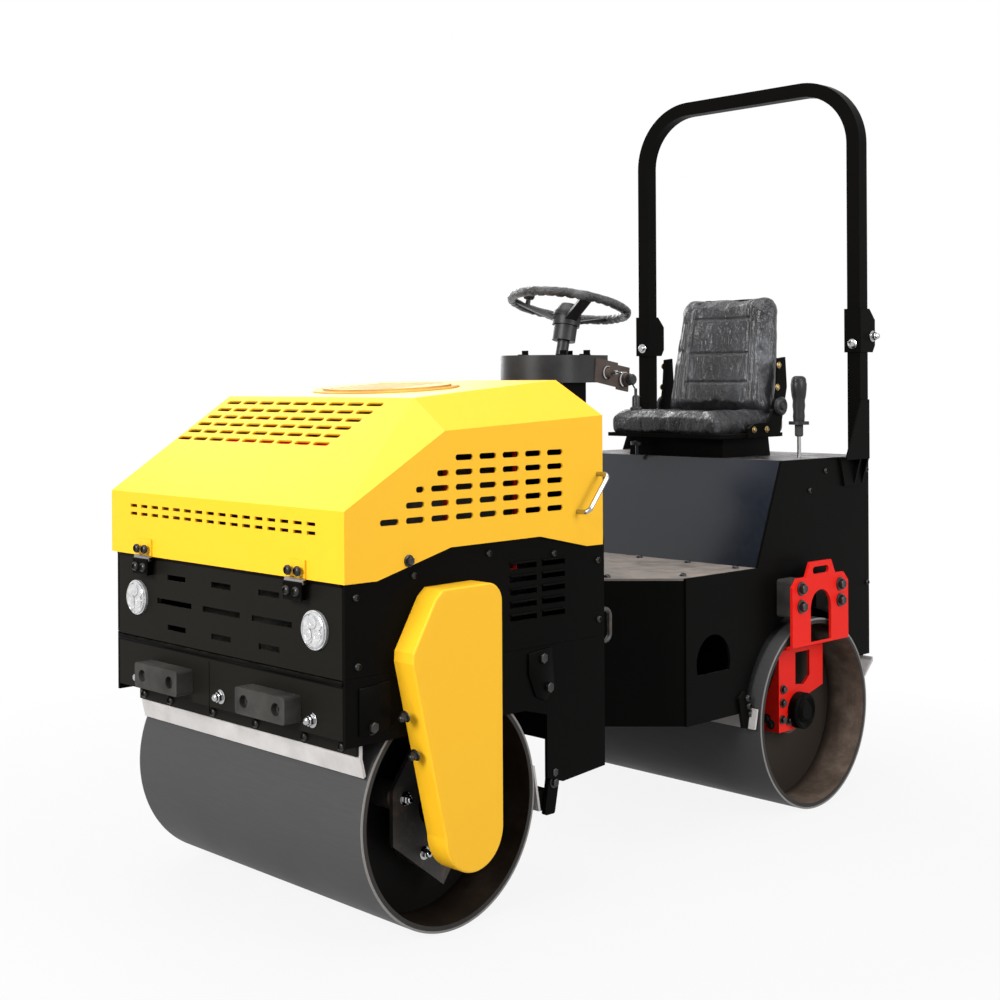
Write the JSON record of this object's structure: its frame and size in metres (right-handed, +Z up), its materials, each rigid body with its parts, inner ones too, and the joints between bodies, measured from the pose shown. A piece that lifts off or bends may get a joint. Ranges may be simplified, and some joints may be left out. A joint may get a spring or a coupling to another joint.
{
  "type": "tandem road roller",
  "caption": "Compact ride-on road roller with two smooth steel drums, an articulated frame, a tilting engine hood and a folding roll-over hoop.",
  "frame": {"origin": "on the ground, below the middle of the machine's box", "axes": "-Y forwards, +X the machine's left, +Z up"},
  "size_m": [1.032, 2.251, 2.209],
  "materials": {
    "yellow_paint": "gloss",
    "black_paint": "semi-gloss",
    "deck_paint": "dusty semi-gloss",
    "red_paint": "semi-gloss",
    "drum_steel": "rolled, satin",
    "white_plastic": "satin",
    "black_plastic": "satin",
    "brown_plastic": "satin",
    "seat_vinyl": "vinyl, semi-gloss",
    "rubber": "matte",
    "chrome": "polished",
    "lamp_lens": "clear",
    "engine_iron": "dark, matte"
  },
  "bodies": {
    "front_body": {"front_frame": "black_paint", "side_panel_left": "black_paint", "side_panel_right": "black_paint", "lamp_panel": "black_paint", "headlamps": "lamp_lens", "front_beam": "black_paint", "rubber_buffers": "rubber", "front_scrapers": "white_plastic", "scraper_bar": "black_paint", "drum_cover_left": "yellow_paint", "drum_cover_right": "yellow_paint", "front_arm_left": "black_paint", "front_arm_right": "black_paint", "engine_block": "engine_iron", "bulkhead": "black_paint", "lashing_loops": "black_paint", "front_yoke": "black_paint", "hinge_leaves_fixed": "black_paint"},
    "hood_body": {"hood": "yellow_paint", "hood_vent": "brown_plastic", "hood_handles": "chrome", "hinge_leaves_hood": "black_paint"},
    "front_drum_body": {"front_drum": "drum_steel", "drive_plates": "engine_iron"},
    "rear_body": {"rear_side_left": "black_paint", "rear_side_right": "black_paint", "nose_box": "black_paint", "floor_plate": "deck_paint", "seat_box": "deck_paint", "back_panel": "black_paint", "drum_deck": "black_paint", "rear_yoke": "black_paint", "rear_arm_left": "red_paint", "rear_arm_right": "red_paint", "arm_buffers": "rubber", "rear_scrapers": "white_plastic", "rear_scraper_mounts": "black_paint", "seat_base": "black_paint", "seat_cushion": "seat_vinyl", "seat_back": "seat_vinyl", "seat_brackets": "black_paint", "control_lever": "black_plastic", "dash_pillar": "black_paint", "dash_console": "black_plastic", "switch_panel": "brown_plastic", "steering_column": "black_plastic", "hoop_posts": "black_paint"},
    "rear_drum_body": {"rear_drum": "drum_steel"},
    "wheel_body": {"steering_wheel": "black_plastic"},
    "hoop_body": {"hoop": "black_paint"},
    "barrel_body": {"cylinder_barrel": "black_paint"},
    "rod_body": {"cylinder_rod": "chrome"}
  },
  "joints": [
    {"name": "hood_hinge", "type": "hinge", "parent": "front_body", "child": "hood_body", "pos_m": [0, -1.096, 0.828], "axis": [1, 0, 0], "range_deg": [0, 60]},
    {"name": "front_drum_spin", "type": "hinge", "parent": "front_body", "child": "front_drum_body", "pos_m": [0, -0.743, 0.28], "axis": [1, 0, 0], "continuous": true},
    {"name": "articulation", "type": "hinge", "parent": "front_body", "child": "rear_body", "pos_m": [0, -0.116, 0.49], "axis": [0, 0, 1], "range_deg": [-30, 30]},
    {"name": "rear_drum_spin", "type": "hinge", "parent": "rear_body", "child": "rear_drum_body", "pos_m": [0, 0.765, 0.28], "axis": [1, 0, 0], "continuous": true},
    {"name": "steering_wheel_spin", "type": "hinge", "parent": "rear_body", "child": "wheel_body", "pos_m": [0, 0.176, 1.487], "axis": [0, 0.225, 0.9744], "continuous": true},
    {"name": "hoop_fold", "type": "hinge", "parent": "rear_body", "child": "hoop_body", "pos_m": [0, 1.096, 1.4], "axis": [-1, 0, 0], "range_deg": [0, 90]},
    {"name": "cylinder_swing", "type": "hinge", "parent": "front_body", "child": "barrel_body", "pos_m": [-0.13, -0.471, 0.458], "axis": [0, 0, 1], "range_deg": [-4, 4]},
    {"name": "rod_slide", "type": "slide", "parent": "barrel_body", "child": "rod_body", "axis": [0.1104, 0.9939, 0], "range_m": [-0.05, 0.05]}
  ],
  "couplings": [
    {"joint": "cylinder_swing", "follows": "articulation", "ratio": 0.09},
    {"joint": "rod_slide", "follows": "articulation", "m_per_rad": -0.087}
  ]
}
